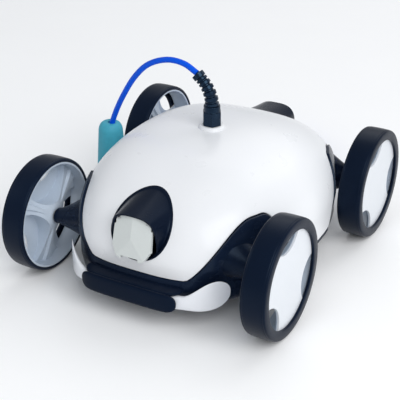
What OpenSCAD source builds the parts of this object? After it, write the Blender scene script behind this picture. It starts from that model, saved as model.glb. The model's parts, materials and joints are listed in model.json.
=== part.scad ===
// Wheeled pool cleaner driven by water jets: a domed body on four free wheels, with a
// jet nozzle and flap valve at each end, a filter tray underneath and a floating cable.
// X runs to the cleaner's side, the front nozzle faces -Y, Z is up, the ground is z = 0.

/* [Body shell] */
// Width of the domed shell
shell_w = 310; // [290:2:312]
// Length of the domed shell
shell_l = 396; // [386:2:398]
// Height of the top of the shell above the ground
shell_top = 181; // [177:1:186]
// Wall of the domed shell
shell_wall = 3; // [2.4:0.2:3.2]

/* [Wheels] */
// Diameter of the tyre
tyre_d = 154; // [150:1:156]
// Width of the tyre
tyre_w = 33; // [30:1:34]
// Distance between the outer faces of a left and a right tyre
track = 376; // [374:1:382]
// Distance between the front and the rear axle
wheelbase = 290; // [286:2:300]
// Diameter of the steel axle pins
axle_d = 10; // [8:1:11]

/* [Nozzles] */
// Height of the nozzle and motor axis
jet_z = 117; // [114:1:118]
// Bore of the nozzle ducts
duct_d = 56; // [52:1:56]
// Distance from the centre to a nozzle's mouth
mouth_y = 199; // [198:1:202]

/* [Filter hatch] */
// Width of the filter hatch
hatch_w = 132; // [120:2:136]
// Length of the filter hatch
hatch_l = 164; // [150:2:166]

/* [Cable] */
// Diameter of the floating cable
cable_d = 8; // [8:0.5:8]
// Diameter of the cable float at its foot
float_d = 44; // [40:1:44]

/* [Hidden] */
FRONT = -1;
REAR = 1;
LEFT = -1;
RIGHT = 1;
CORNERS = ["front_left", "front_right", "rear_left", "rear_right"];

$fn = 96;
gap = 0.3; // running clearance between curved faces of different bodies
side_seg = 84; // points round the body outline
white = "#f2f4f6";
black = "#141c2b";

// Body outline: |x/a|^side_pow + |y/b|^end_pow = 1, under a dome of height dome_h
shell_a = shell_w / 2;
shell_b = shell_l / 2;
side_pow = 3.05;
end_pow = 2.2;
dome_foot = 78;
dome_h = shell_top - dome_foot;
dome_m = 1.12;
dome_p = 1.8;
wall_drop = 100; // height of the straight wall for one unit of u past the dome's foot

// Lower edge of the shell: straight ends, raised wheel arches, a low lobe at each side
lip_end_z = 64;
lip_arch_z = 131;
lip_side_z = 45;

function ease(t) = let (c = min(max(t, 0), 1)) c * c * (3 - 2 * c);
function signed_pow(v, e) = sign(v) * pow(abs(v), e);

// Point of the body skin: u = 0 at the top, 1 at the dome's foot, above 1 down the wall;
// q is the angle round the body and inset moves the skin inwards
function skin(u, q, inset = 0) =
    let (
        w = pow(sin(90 * min(u, 1)), 2),
        s = pow(w, 1 / (side_pow * cos(q) ^ 2 + end_pow * sin(q) ^ 2)),
        rise = 1 - pow(pow(s, side_pow) * cos(q) ^ 2 + pow(s, end_pow) * sin(q) ^ 2, dome_m)
    )
    [
        (shell_a - inset) * s * signed_pow(cos(q), 2 / side_pow),
        (shell_b - inset) * s * signed_pow(sin(q), 2 / end_pow),
        dome_foot + (dome_h - inset) * pow(max(rise, 0), 1 / dome_p) - wall_drop * max(u - 1, 0),
    ];

// Value of u at which the skin stands at height z
function skin_u(z) = z < dome_foot
    ? 1 + (dome_foot - z) / wall_drop
    : asin(sqrt(pow(1 - pow((z - dome_foot) / dome_h, dome_p), 1 / dome_m))) / 90;

// Height of the shell's lower edge at the angle q round the body
function lip_z(q) =
    let (turn = atan2(abs(sin(q)), pow(abs(cos(q)), 2 / side_pow)))
    turn > 36
    ? lip_end_z + (lip_arch_z - lip_end_z) * ease(pow(max(66 - turn, 0) / 30, 0.72))
    : lip_side_z + (lip_arch_z - lip_side_z) * ease(pow(max(turn - 13, 0) / 18, 0.7));

function angles(n) = [for (i = [0:n - 1]) 360 * (i + 0.5) / n];

// Closed skin through rings of equal length, each anticlockwise as seen from the end where
// the list starts; the last ring joins the first when looped, and otherwise both ends are
// closed with a fan
module rings(list, looped = false) {
    n = len(list[0]);
    m = len(list);
    last = looped ? m : m - 1;
    polyhedron(
        points = [for (r = list) each r],
        faces = [
            for (i = [0:last - 1]) for (j = [0:n - 1])
                let (a = i * n + j, b = i * n + (j + 1) % n, k = ((i + 1) % m) * n)
                each [[a, b, k + j], [b, k + (j + 1) % n, k + j]],
            if (!looped) for (j = [1:n - 2]) each [
                [0, j + 1, j],
                [(m - 1) * n, (m - 1) * n + j, (m - 1) * n + j + 1],
            ],
        ]
    );
}

// Ring of n points: an ellipse of half sizes [ru, rv] in the plane of unit vectors u and v
function ellipse_ring(c, u, v, ru, rv, n, p = 2) =
    [for (i = [0:n - 1]) let (q = 360 * i / n)
        c + u * ru * signed_pow(cos(q), 2 / p) + v * rv * signed_pow(sin(q), 2 / p)];

module rounded_bar(w, h, r) {
    square([w, h - 2 * r], center = true);
    square([w - 2 * r, h], center = true);
    for (x = [-1, 1]) for (y = [-1, 1]) translate([x * (w / 2 - r), y * (h / 2 - r)]) circle(r, $fn = 32);
}

// Cylinder along X or Y between two positions
module rod_x(x0, x1, r) translate([x0, 0, 0]) rotate([0, 90, 0]) cylinder(h = x1 - x0, r = r);
module rod_y(y0, y1, r) translate([0, y0, 0]) rotate([-90, 0, 0]) cylinder(h = y1 - y0, r = r);
module tube_y(y0, y1, ro, ri) difference() {
    rod_y(y0, y1, ro);
    rod_y(y0 - 1, y1 + 1, ri);
}

// ---------------------------------------------------------------- shell and casing
neck_hole_r = 11.5; // opening at the shell's top for the cable gland's neck
bezel_r = [41.4, 37.7]; // half width and half height of a nozzle's opening in the shell
lip_round = 1.2;

module top_shell() color(white) {
    rows = 11;
    u0 = 0.004;
    // A resize to the shell's own width and length
    resize([shell_w, shell_l, 0]) difference() {
        rings([
            for (i = [0:rows]) [for (q = angles(side_seg))
                skin(u0 + (skin_u(lip_z(q)) - u0) * i / rows, q)],
            for (i = [rows:-1:0]) [for (q = angles(side_seg))
                skin(u0 + (skin_u(lip_z(q) + lip_round) - u0) * i / rows, q, shell_wall)],
        ], looped = true);
        translate([0, 0, jet_z]) scale([bezel_r[0] / bezel_r[1], 1, 1]) rod_y(-shell_l, shell_l, bezel_r[1]);
        cylinder(h = 2 * shell_top, r = neck_hole_r);
        for (i = [0:3]) arm_body(i, gap);
    }
}

casing_gap = 1; // between the shell's inner face and the casing
casing_inset = shell_wall + casing_gap;
casing_wall = 3;
casing_z = 26; // underside of the casing
casing_round = 14;
rim_over = 9; // how far the casing runs up inside the shell
apron = 5; // how far the casing stands out of the shell's outline at each end
hatch_gap = 1;

// Casing wall above the floor: ring i of rim_rows, from the top edge inside the shell down
casing_low = lip_side_z + 1;
rim_rows = 4;
function apron_out(z, q) = apron * ease((70 - z) / 20) * ease((abs(sin(q)) - 0.82) / 0.12);
function casing_side(i, inset) = [for (q = angles(side_seg))
    let (
        u1 = skin_u(min(lip_z(q) + rim_over, lip_arch_z + 4)),
        p = skin(u1 + (skin_u(casing_low) - u1) * i / rim_rows, q, casing_inset + inset)
    )
    [p[0], p[1] + sign(p[1]) * apron_out(p[2], q), p[2]]];

// Casing outline at height z below the shell, tucked in towards the floor
function casing_ring(z, inset) = [for (q = angles(side_seg))
    let (
        low = max(casing_z + casing_round - z, 0),
        tuck = casing_round - sqrt(casing_round ^ 2 - low ^ 2),
        p = skin(1, q, casing_inset + inset + tuck)
    )
    [p[0], p[1] + sign(p[1]) * apron_out(z, q), z]];

module lower_casing() color(black) {
    floor_steps = [0.3, 0.6, 0.85, 1];
    casing_w = 2 * (shell_a - casing_inset);
    casing_l = 2 * (shell_b - casing_inset + apron);
    floor_ring = [for (q = angles(side_seg)) [hatch_w / 4 * cos(q), hatch_w / 4 * sin(q), casing_z]];
    // A resize to the casing's own width and length
    resize([casing_w, casing_l, 0]) difference() {
        rings([
            for (i = [0:rim_rows]) casing_side(i, 0),
            for (f = floor_steps) casing_ring(casing_low + (casing_z - casing_low) * f, 0),
            floor_ring,
            [for (p = floor_ring) p + [0, 0, casing_wall]],
            for (k = [len(floor_steps) - 1:-1:0])
                casing_ring(casing_low + (casing_z + casing_wall - casing_low) * floor_steps[k], casing_wall),
            for (i = [rim_rows:-1:0]) casing_side(i, casing_wall),
        ], looped = true);
        cube([hatch_w + 2 * hatch_gap, hatch_l + 2 * hatch_gap, 4 * casing_z], center = true);
        for (i = [0:3]) arm_body(i, gap);
    }
}

// Screws that hold the shell to the casing, driven up through the casing floor, and the
// two that the hatch latches turn on
screw_at = [[-88, -118], [88, -118], [-88, 118], [88, 118]];
screw_r = 2;
screw_head_r = 4;
module screws() color("silver") {
    for (p = screw_at) translate([p[0], p[1], casing_z - 2]) difference() {
        cylinder(h = 2, r = screw_head_r, $fn = 48);
        translate([0, 0, -0.5]) cube([5, 1, 2], center = true);
    }
    for (x = [-latch_x, latch_x]) translate([x, -latch_y, latch_z]) {
        translate([0, 0, 0.1]) cylinder(h = 0.8, r = screw_head_r - 0.7, $fn = 48);
        cylinder(h = casing_z - latch_z, r = screw_r, $fn = 48);
    }
}

// Inverted box inside the casing: it holds the motor and closes the filter space
chamber_w = 160;
chamber_l = 188;
chamber_wall = 3;
deck_z = 66; // top face of the chamber's deck
cradle_t = 6;
cradle_y = 38;
motor_r = 30;
motor_l = 124;
suction_w = 44;
suction_l = 26;
suction_at = [44, 66];
cradle_top = jet_z - 12;
module filter_chamber() color(black) {
    floor_z = casing_z + casing_wall;
    difference() {
        translate([0, 0, (floor_z + deck_z) / 2])
            cube([chamber_w, chamber_l, deck_z - floor_z], center = true);
        translate([0, 0, floor_z - 1])
            translate([-chamber_w / 2 + chamber_wall, -chamber_l / 2 + chamber_wall, 0])
            cube([
                chamber_w - 2 * chamber_wall, chamber_l - 2 * chamber_wall,
                deck_z - floor_z + 1 - chamber_wall,
            ]);
        for (x = [-1, 1]) for (y = [FRONT, REAR])
            translate([x * suction_at[0], y * suction_at[1], deck_z])
            cube([suction_w, suction_l, 4 * chamber_wall], center = true);
    }
    for (y = [FRONT, REAR]) difference() {
        translate([0, y * cradle_y, (deck_z + cradle_top) / 2])
            cube([2 * motor_r + 2 * cradle_t, cradle_t, cradle_top - deck_z], center = true);
        translate([0, 0, jet_z]) rod_y(-motor_l, motor_l, motor_r);
    }
}

// ---------------------------------------------------------------- axle arms and wheels
wheel_r = tyre_d / 2;
axle_y = wheelbase / 2;
tyre_out = track / 2;
tyre_in = tyre_out - tyre_w;
hub_in = tyre_in + 1.5; // inner face of the wheel hub
boss_x = tyre_in - 1; // outer face of the arm's boss
boss_r = 9.5;
arm_x = 96;
arm_root = [0, 122, 86]; // centre of the arm's root in Y and Z
arm_root_r = [47, 40];
arm_flare = 1.3; // how fast the arm widens from its boss to its root
bore_gap = 0.05;

// A corner is a pair of signs: [left or right, front or rear]
function corner(i) = [i % 2 == 0 ? LEFT : RIGHT, i < 2 ? FRONT : REAR];
module at_corner(i) {
    c = corner(i);
    mirror([c[0] == LEFT ? 1 : 0, 0, 0]) mirror([0, c[1] == FRONT ? 1 : 0, 0]) children();
}

// Flared arm that carries a wheel, thin at the boss and wide where it meets the casing
module arm_body(i, grow = 0) at_corner(i) rings([for (k = [0:12]) let (
    t = k / 12,
    f = pow(1 - t, arm_flare),
    c = [
        arm_x - grow + (boss_x + 2 * grow - arm_x) * t,
        axle_y + (arm_root[1] - axle_y) * f,
        wheel_r + (arm_root[2] - wheel_r) * f
    ],
    ry = grow + boss_r + (arm_root_r[0] - boss_r) * f,
    rz = grow + boss_r + (arm_root_r[1] - boss_r) * f
) ellipse_ring(c, [0, 0, 1], [0, 1, 0], rz, ry, 32)]);
module axle_arm(i) color(black) difference() {
    arm_body(i);
    at_corner(i) translate([0, axle_y, wheel_r]) rod_x(boss_x - 30, boss_x + 1, axle_d / 2 + bore_gap);
}

axle_end = tyre_out - 7; // end of the axle pin, behind the wheel cover
clip_x = axle_end - 3;
module axle_pins() color("silver") for (i = [0:3]) at_corner(i)
    translate([0, axle_y, wheel_r]) difference() {
        rod_x(boss_x - 29, axle_end, axle_d / 2);
        difference() {
            rod_x(clip_x, clip_x + 1.2, axle_d / 2 + 1);
            rod_x(clip_x - 1, clip_x + 2, axle_d / 2 - 1);
        }
    }
module axle_clips() color("silver") for (i = [0:3]) at_corner(i)
    translate([clip_x + 0.1, axle_y, wheel_r]) rotate([0, 90, 0]) difference() {
        cylinder(h = 1, r = axle_d / 2 + 1.6, $fn = 48);
        translate([0, 0, -1]) cylinder(h = 3, r = axle_d / 2 - 1 + bore_gap, $fn = 48);
        translate([0, axle_d / 2, 0]) cube([4, axle_d, 4], center = true);
    }

// Wheel parts are drawn about the wheel's own axis, standing up from z = 0 at the tyre's
// inner face, then laid on the axle
module on_axle(i) at_corner(i) translate([tyre_in, axle_y, wheel_r]) rotate([0, 90, 0]) children();

tread_t = 5.2;
face_in = 63; // inner radius of the tyre's outer face
face_t = 3.6;
tyre_round = 2.5;
module tyre(i) color(black) on_axle(i) rotate_extrude($fn = 120) {
    translate([wheel_r - tread_t / 2, tyre_w / 2]) rounded_bar(tread_t, tyre_w, tyre_round);
    translate([(wheel_r + face_in) / 2, tyre_w - face_t / 2])
        rounded_bar(wheel_r - face_in, face_t, face_t / 2 - 0.1);
}

rim_r = wheel_r - tread_t; // seat of the tyre on the rim
band_t = 3;
hub_r = 13;
bush_r = axle_d / 2 + 2.5;
hub_face = hub_in - tyre_in;
cover_back = tyre_w - face_t - 2.6;
web_t = 2.6;
web_rise = 9; // how much deeper the web lies at the rim than at the hub
scallops = 3;
in_scallop = [60, 44]; // distance from the axis and radius of the web's scallops
out_scallop = [76, 33]; // distance from the axis and radius of the cover's scallops
wheel_turn = [64, 53, 15, 78]; // turn of each wheel about its axle at rest

// Disc with three round scallops in its edge
module scalloped(r, cut, turn) difference() {
    circle(r);
    for (k = [0:scallops - 1]) rotate(turn + 360 * k / scallops) translate([cut[0], 0]) circle(cut[1]);
}
module web_profile(z0, t) polygon([
    [bush_r, z0], [hub_r, z0], [rim_r - 1, z0 + web_rise],
    [rim_r - 1, z0 + web_rise + t], [hub_r, z0 + t], [bush_r, z0 + t],
]);
module wheel_rim(i) color(white) on_axle(i) {
    difference() {
        translate([0, 0, 1]) cylinder(h = cover_back - 1, r = rim_r);
        translate([0, 0, -1]) cylinder(h = tyre_w + 2, r = rim_r - band_t);
    }
    intersection() {
        rotate_extrude() web_profile(hub_face, web_t);
        linear_extrude(tyre_w) scalloped(rim_r, in_scallop, wheel_turn[i]);
    }
    intersection() {
        rotate_extrude() web_profile(hub_face, cover_back - hub_face);
        linear_extrude(cover_back) difference() {
            scalloped(rim_r, in_scallop, wheel_turn[i]);
            scalloped(rim_r, in_scallop + [0, 2], wheel_turn[i]);
        }
    }
    difference() {
        translate([0, 0, hub_face]) cylinder(h = cover_back - hub_face, r = hub_r);
        translate([0, 0, hub_face - 1]) cylinder(h = tyre_w, r = bush_r);
    }
}

module wheel_cover(i) color(white) on_axle(i) {
    translate([0, 0, cover_back]) linear_extrude(2.4) scalloped(rim_r - 0.2, out_scallop, wheel_turn[i]);
}

module wheel_bush(i) color("dimgray") on_axle(i) translate([0, 0, hub_face]) difference() {
    cylinder(h = axle_end - tyre_in - 5 - hub_face, r = bush_r);
    translate([0, 0, -1]) cylinder(h = tyre_w, r = axle_d / 2 + bore_gap);
}

// ---------------------------------------------------------------- bumpers
bumper_x = 115; // half width of a bumper
bumper_y = 211;
bumper_z = 43.5;
bumper_sweep = 44; // how far a bumper's ends lie behind its middle
sweep_pow = 4.5;
end_lift = 0.62; // how far a bumper's end rises, and how much deeper it gets, for its flare
end_deepen = 0.18;
flare_from = 0.6; // where a bumper starts to flare, as a share of its half width
flare_span = 0.35;
pad_x = 68;
pad_forward = 9.7;
pad_half_h = 12.4;
pad_lift = 1.6;
lid_at = [-2, 12]; // how far the pad's lid lies before and above the bar's middle
lid_half = [11, 2.5];
stub_x = 30; // the two stubs that carry a bumper on the casing
stub_r = 5;

function bumper_point(x, forward, lift) =
    [x, -(bumper_y + forward - bumper_sweep * pow(abs(x) / bumper_x, sweep_pow)), bumper_z + lift];
function end_share(t) = sqrt(1 - pow(abs(t), 14));

// Bar along the bumper's curve, high at its ends when flare is above zero
module bumper_bar(half_x, forward, half_depth, half_height, flare, lift = 0) rings([
    for (k = [-9:9]) let (
        t = 0.992 * sin(10 * k),
        x = half_x * t,
        f = ease((abs(x) / bumper_x - flare_from) / flare_span),
        turn = -30 * ease(abs(x) / bumper_x) * sign(x),
        grow = end_share(t)
    )
    ellipse_ring(bumper_point(x, forward, lift + end_lift * flare * f), [sin(turn), -cos(turn), 0], [0, 0, 1],
        grow * (half_depth + end_deepen * flare * f), grow * (half_height + flare * f), 14, 2.6)
]);
module at_end(end) rotate(end == REAR ? 180 : 0) children();
module bumper(end) color(white) at_end(end) {
    bumper_bar(bumper_x, 0, 6, 9, 13.5);
    for (x = [-stub_x, stub_x]) translate([x, 0, bumper_z]) rod_y(-bumper_y + 4, -shell_b - 0.6, stub_r);
}
module bumper_pad(end) color(black) at_end(end) {
    bumper_bar(pad_x, pad_forward, 3.3, pad_half_h, 0, pad_lift);
    bumper_bar(pad_x, lid_at[0], lid_half[0], lid_half[1], 0, lid_at[1]);
}

// ---------------------------------------------------------------- jet nozzles
lean = 0.16; // slope of the nozzle's mouth
mouth_z = 111;
mouth_r = [31, 31];
mouth_wall = 2;
mouth_pow = 3;
duct_r = duct_d / 2;
duct_wall = 3;
spigot_y = 130;
spigot_l = 7;
throat_y = 162; // where the round bore starts to turn into the mouth
bezel_t = 7;
bezel_proud = 0.8;
bezel_gap = 0.4;
mouth_top = 127; // height at which the mouth stands at mouth_y
nozzle_seg = 48;

// How far the body skin stands from the middle, at x and z
function skin_y(x, z) = shell_b * pow(
    (z > dome_foot ? pow(1 - pow((z - dome_foot) / dome_h, dome_p), 1 / dome_m) : 1)
    - pow(abs(x) / shell_a, side_pow), 1 / end_pow);
function round_ring(r, y) = [for (q = angles(nozzle_seg)) [r * cos(q), -y, jet_z + r * sin(q)]];
function skin_ring(inset, proud) = [for (q = angles(nozzle_seg)) let (
    x = (bezel_r[0] - inset) * cos(q),
    z = jet_z + (bezel_r[1] - inset) * sin(q))
    [x, -skin_y(x, z) - proud, z]];
function mouth_ring(inset, back = 0) = [for (q = angles(nozzle_seg)) let (
    x = (mouth_r[0] - inset) * signed_pow(cos(q), 2 / mouth_pow),
    z = mouth_z + (mouth_r[1] - inset) * signed_pow(sin(q), 2 / mouth_pow))
    [x, back - mouth_y - lean * (z - mouth_top), z]];

hinge_z = 133;
hinge_back = 3.3; // how far the flap's pin lies behind the mouth
hinge_y = mouth_y + lean * (hinge_z - mouth_top) - hinge_back;
flap_pin_r = 1;
flap_pin_x = 26;
module nozzle(end) color(black) at_end(end) difference() {
    rings([
        skin_ring(3, -bezel_t),
        round_ring(duct_r + duct_wall, spigot_y + spigot_l),
        round_ring(duct_r + duct_wall, spigot_y),
        round_ring(duct_r, spigot_y),
        round_ring(duct_r, throat_y),
        mouth_ring(mouth_wall),
        mouth_ring(0),
        skin_ring(bezel_gap, bezel_proud),
    ], looped = true);
    translate([0, -hinge_y, hinge_z]) rod_x(-flap_pin_x - 0.5, flap_pin_x + 0.5, flap_pin_r + bore_gap);
}
module duct(end) color("dimgray") at_end(end) translate([0, 0, jet_z])
    tube_y(-spigot_y, -motor_l / 2 - 18, duct_r + duct_wall, duct_r);
module flap_pins() color("silver") for (end = [FRONT, REAR]) at_end(end)
    translate([0, -hinge_y, hinge_z]) rod_x(-flap_pin_x, flap_pin_x, flap_pin_r);

flap_gap = 0.8; // between the flap's edge and the mouth
flap_top = [26.5, 19]; // corners of the flap's outline, from the middle of the mouth
flap_side = [27, -13];
flap_foot = [17, -28.5];
flap_back = -1.6; // the flap's flat back, measured forward from its pin
flap_t = 8.4; // thickness of the flap where its three faces meet
fall = [0.16, 0.12]; // slope of the two upper faces, sideways and upwards
crease = 0.8; // sideways run of the creases below that point for one unit down
flap_ends = [30, 34]; // half width and half height of the block that the faces are cut from
notch = [-13, 11.6, -23.5]; // sides and upper end of the cut-out in the flap's foot
notch_l = 10;
nick = [2.2, 4]; // depth and width of the small cut-outs in the flap's sides
nick_at = [-16, 16];
knuckle_x = 6;
knuckle_l = 6;
flap_knuckle_r = flap_pin_r + 1.2;
module flap_outline() difference() {
    intersection() {
        polygon([for (q = angles(nozzle_seg)) [
            (mouth_r[0] - mouth_wall - flap_gap) * signed_pow(cos(q), 2 / mouth_pow),
            (mouth_r[1] - mouth_wall - flap_gap) * signed_pow(sin(q), 2 / mouth_pow),
        ]]);
        polygon([
            [-flap_top[0], flap_top[1]], [-flap_side[0], flap_side[1]], [-flap_foot[0], flap_foot[1]],
            flap_foot, flap_side, flap_top, [0, 2 * flap_top[1]],
        ]);
    }
    translate([notch[0], notch[2] - notch_l]) square([notch[1] - notch[0], notch_l]);
    for (x = [-1, 1]) for (y = nick_at)
        translate([x * (flap_top[0] + flap_side[0]) / 2, y]) square([2 * nick[0], nick[1]], center = true);
}
// Block under three flat faces that meet in a point on the middle line
module flap_faces() {
    w = flap_ends[0];
    h = flap_ends[1];
    foot_z = flap_t - (crease * fall[0] - fall[1]) * h;
    low_z = flap_t - fall[0] * w + fall[1] * h;
    high_z = flap_t - fall[0] * w - fall[1] * h;
    polyhedron(
        points = [
            [-w, -h, -flap_t], [w, -h, -flap_t], [w, h, -flap_t], [-w, h, -flap_t],
            [0, 0, flap_t], [0, h, flap_t - fall[1] * h],
            [-w, h, high_z], [-w, -h, low_z], [-crease * h, -h, foot_z],
            [crease * h, -h, foot_z], [w, -h, low_z], [w, h, high_z],
        ],
        faces = [
            [0, 1, 2, 3], [4, 8, 7, 6, 5], [4, 5, 11, 10, 9], [4, 9, 8],
            [0, 7, 8, 9, 10, 1], [1, 10, 11, 2], [2, 11, 5, 6, 3], [3, 6, 7, 0],
        ]
    );
}
// Flap valve, hung on its pin near its top edge
module flap(end) color("gainsboro") at_end(end) translate([0, -hinge_y, hinge_z]) {
    difference() {
        rotate([90 - atan(lean), 0, 0]) translate([0, mouth_z - hinge_z, flap_back]) intersection() {
            linear_extrude(2 * flap_t) flap_outline();
            flap_faces();
        }
        rod_x(-mouth_r[0], mouth_r[0], flap_pin_r + 0.4);
    }
    for (x = [-1, 1]) translate([x * knuckle_x, 0, 0]) difference() {
        rod_x(-knuckle_l / 2, knuckle_l / 2, flap_knuckle_r);
        rod_x(-knuckle_l, knuckle_l, flap_pin_r + bore_gap);
    }
}

// ---------------------------------------------------------------- motor and propellers
shaft_r = 4;
neck_r = 10.5;
cap_t = 6;
core_r = 25;
module at_jet() translate([0, 0, jet_z]) children();
module motor_housing() color("dimgray") difference() {
    union() {
        at_jet() rod_y(-motor_l / 2, motor_l / 2, motor_r);
        translate([0, 0, jet_z]) cylinder(h = shell_top + 4 - jet_z, r = neck_r);
    }
    at_jet() rod_y(-motor_l / 2 - 1, motor_l / 2 + 1, motor_r - 2.5);
    translate([0, 0, jet_z]) cylinder(h = shell_top - jet_z + 5, r = neck_r - 3);
}
module motor_caps() color("dimgray") for (end = [FRONT, REAR]) at_end(end) at_jet() difference() {
    union() {
        rod_y(-motor_l / 2 - cap_t, -motor_l / 2, motor_r);
        rod_y(-motor_l / 2 - cap_t - 6, -motor_l / 2 - cap_t + 1, 12);
    }
    rod_y(-motor_l / 2 - 20, -motor_l / 2 + 1, shaft_r + bore_gap);
    rod_y(-motor_l / 2 - cap_t - 7, -motor_l / 2 - cap_t - 2, 8);
}
module motor_seals() color("black") for (end = [FRONT, REAR]) at_end(end) at_jet()
    tube_y(-motor_l / 2 - cap_t - 6, -motor_l / 2 - cap_t - 2, 8, shaft_r + bore_gap);
module motor_core() color("darkgoldenrod") at_jet()
    tube_y(-44, 44, core_r, shaft_r + 3);

shaft_end = 122;
prop_y = 102;
prop_r = 26;
prop_hub_r = 8;
prop_hub_l = 18;
blades = 3;
module motor_shaft() color("silver") at_jet() rod_y(-shaft_end, shaft_end, shaft_r);
module propeller(end) color("gainsboro") at_end(end) translate([0, -prop_y, jet_z]) difference() {
    union() {
        rod_y(-prop_hub_l / 2, prop_hub_l / 2, prop_hub_r);
        intersection() {
            rod_y(-prop_hub_l / 2, prop_hub_l / 2, prop_r);
            for (k = [0:blades - 1]) rotate([0, 360 * k / blades, 0]) rotate([0, 0, 38])
                translate([0, 0, prop_r / 2]) cube([22, 1.8, prop_r + 2], center = true);
        }
    }
    rod_y(-prop_hub_l, prop_hub_l, shaft_r + bore_gap / 2);
}
module propeller_nuts() color("silver") for (end = [FRONT, REAR]) at_end(end)
    translate([0, -prop_y - prop_hub_l / 2, jet_z]) difference() {
        rotate([90, 0, 0]) cylinder(h = 6, r = 7, $fn = 6);
        rod_y(-8, 1, shaft_r + bore_gap / 2);
    }

// ---------------------------------------------------------------- cable gland
collar_r = 18;
collar_h = 4;
nut_across = 23;
nut_h = 19;
gland_top = 212;
module gland_collar() color(white) translate([0, 0, shell_top]) difference() {
    union() {
        cylinder(h = collar_h / 2, r = collar_r);
        translate([0, 0, collar_h / 2]) cylinder(h = collar_h / 2, r = collar_r - 1.5);
    }
    translate([0, 0, -1]) cylinder(h = collar_h + 2, r = neck_r + bore_gap);
}
module gland_nut() color(black) translate([0, 0, shell_top + collar_h]) difference() {
    union() {
        cylinder(h = nut_h, d = nut_across / cos(30), $fn = 6);
        translate([0, 0, nut_h]) cylinder(h = gland_top - shell_top - collar_h - nut_h, r = 11);
    }
    translate([0, 0, -1]) cylinder(h = gland_top, r = cable_d / 2 + 1);
}

// Points on a smooth curve through the route, n to each span
function curve(route, n) = [
    for (i = [0:len(route) - 2]) for (k = [0:n - 1]) let (
        a = route[max(i - 1, 0)], b = route[i], c = route[i + 1], d = route[min(i + 2, len(route) - 1)],
        t = k / n
    )
    0.5 * ((2 * b) + (c - a) * t + (2 * a - 5 * b + 4 * c - d) * t ^ 2 + (3 * b - a - 3 * c + d) * t ^ 3),
    route[len(route) - 1],
];
function unit(v) = v / norm(v);
function square_to(v, t) = unit(v - (v * t) * t);
// Round bar of radius radii[i] at point i of the path
module swept(path, radii, side, n) {
    last = len(path) - 1;
    tangents = [for (i = [0:last]) unit(path[min(i + 1, last)] - path[max(i - 1, 0)])];
    sides = [for (i = 0, u = square_to(side, tangents[0]); i <= last;
        i = i + 1, u = i <= last ? square_to(u, tangents[i]) : u) u];
    rings([for (i = [0:last])
        ellipse_ring(path[i], sides[i], cross(sides[i], tangents[i]), radii[i], radii[i], n)]);
}

relief_route = [[0, 0, 212], [-1, 0, 221], [-5, 0, 232], [-11, 0, 241], [-17, 0, 247], [-22, 0, 252]];
relief_r = 9;
groove = 1.8;
ribs = 6;
sleeve_from = 0.8;
module strain_relief() color(black) {
    path = curve(relief_route, 8);
    last = len(path) - 1;
    swept(path, [for (i = [0:last]) let (t = i / last)
        t > sleeve_from
            ? relief_r - 0.5
            : relief_r - 1.5 * t - groove * (0.5 + 0.5 * cos(360 * ribs * t / sleeve_from))],
        [0, 1, 0], 20);
}

// ---------------------------------------------------------------- filter hatch
pin_r = 1.5;
hatch_t = 3;
hatch_pin_y = hatch_l / 2 + 2.5;
hatch_pin_z = 21;
knuckle_r = 3.5;
hatch_knuckle_l = 22;
intake_w = 62;
intake_l = 18;
intake_y = 40;
intake_pivot_y = intake_y + intake_l / 2 + 3;
intake_pivot_z = 1.8; // height of the intake flaps' pins above the hatch
intake_pin = 1.2;
module filter_hatch() color(black) {
    difference() {
        translate([0, 0, casing_z + hatch_t / 2]) cube([hatch_w, hatch_l, hatch_t], center = true);
        for (y = [FRONT, REAR]) translate([0, y * intake_y, casing_z])
            cube([intake_w, intake_l, 4 * hatch_t], center = true);
    }
    for (x = [-1, 1]) for (y = [FRONT, REAR]) difference() {
        translate([x * (intake_w / 2 + 4.5), y * intake_pivot_y, basket_z + 2])
            cube([3, 6, 4], center = true);
        translate([0, y * intake_pivot_y, basket_z + intake_pivot_z])
            rod_x(-intake_w, intake_w, intake_pin + bore_gap);
    }
    for (x = [-1, 1]) translate([x * 38, 0, 0]) difference() {
        union() {
            translate([0, hatch_pin_y, hatch_pin_z])
                rod_x(-hatch_knuckle_l / 2, hatch_knuckle_l / 2, knuckle_r);
            translate([-hatch_knuckle_l / 2, hatch_l / 2 - 5, hatch_pin_z - 1])
                cube([hatch_knuckle_l, 5, casing_z - hatch_pin_z + 1]);
        }
        translate([0, hatch_pin_y, hatch_pin_z])
            rod_x(-hatch_knuckle_l, hatch_knuckle_l, pin_r + bore_gap);
    }
}
// The hinge pin is held by two blocks under the casing floor
module hatch_pin() color("silver") {
    translate([0, hatch_pin_y, hatch_pin_z]) rod_x(-62, 62, pin_r);
    for (x = [-1, 1]) difference() {
        translate([x * 57, hatch_pin_y + 1.5, (hatch_pin_z + casing_z) / 2 - 1])
            cube([8, 5, casing_z - hatch_pin_z + 2], center = true);
        translate([0, hatch_pin_y, hatch_pin_z]) rod_x(-70, 70, pin_r - 0.01);
    }
}

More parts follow.
